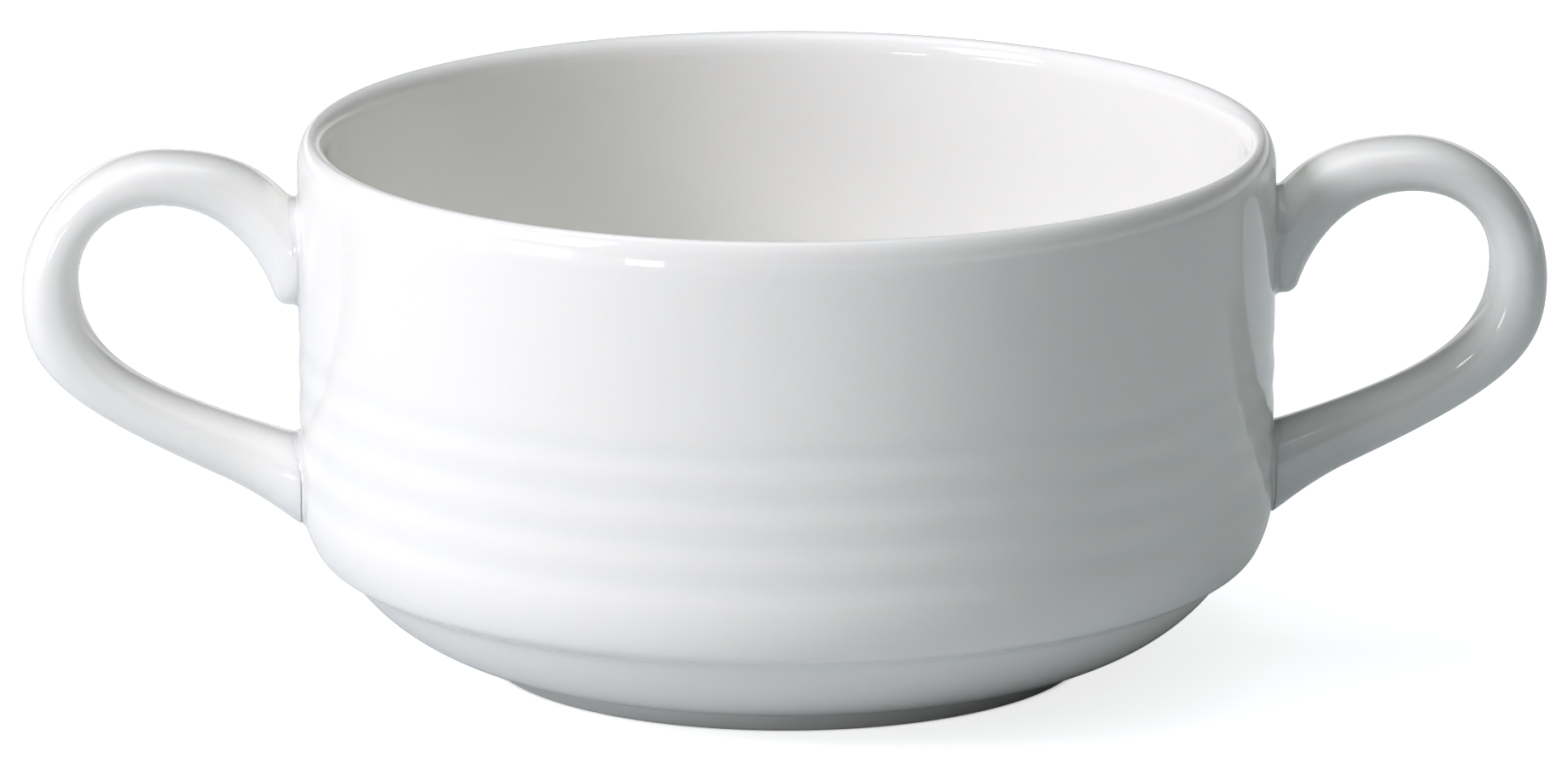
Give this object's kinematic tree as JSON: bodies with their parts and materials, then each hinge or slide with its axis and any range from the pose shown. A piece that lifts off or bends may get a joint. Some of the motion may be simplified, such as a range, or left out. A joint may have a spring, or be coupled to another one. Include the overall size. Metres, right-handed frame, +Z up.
{
  "type": "lug soup bowl",
  "caption": "Round glazed porcelain soup bowl with a handle on each side, shallow rings round the lower wall and a stepped base that stacks in the rim of a like bowl.",
  "frame": {"origin": "on the bowl's axis, in the plane of the foot ring's flat face", "axes": "+Z up along the bowl's axis; the handles lie along X, and +X points through the handle on the right of the picture"},
  "size_m": [0.1626, 0.104, 0.057],
  "materials": {
    "bowl_glaze": "clear gloss glaze over white porcelain, unglazed on the foot ring's face",
    "handle_glaze": "clear gloss glaze over white porcelain",
    "slip_glaze": "porcelain slip sponged to a small bead, under the same clear gloss glaze"
  },
  "bodies": {
    "root": {"bowl_body": "bowl_glaze", "left_handle": "handle_glaze", "right_handle": "handle_glaze", "left_upper_slip_joint": "slip_glaze", "left_lower_slip_joint": "slip_glaze", "right_upper_slip_joint": "slip_glaze", "right_lower_slip_joint": "slip_glaze"}
  },
  "joints": []
}
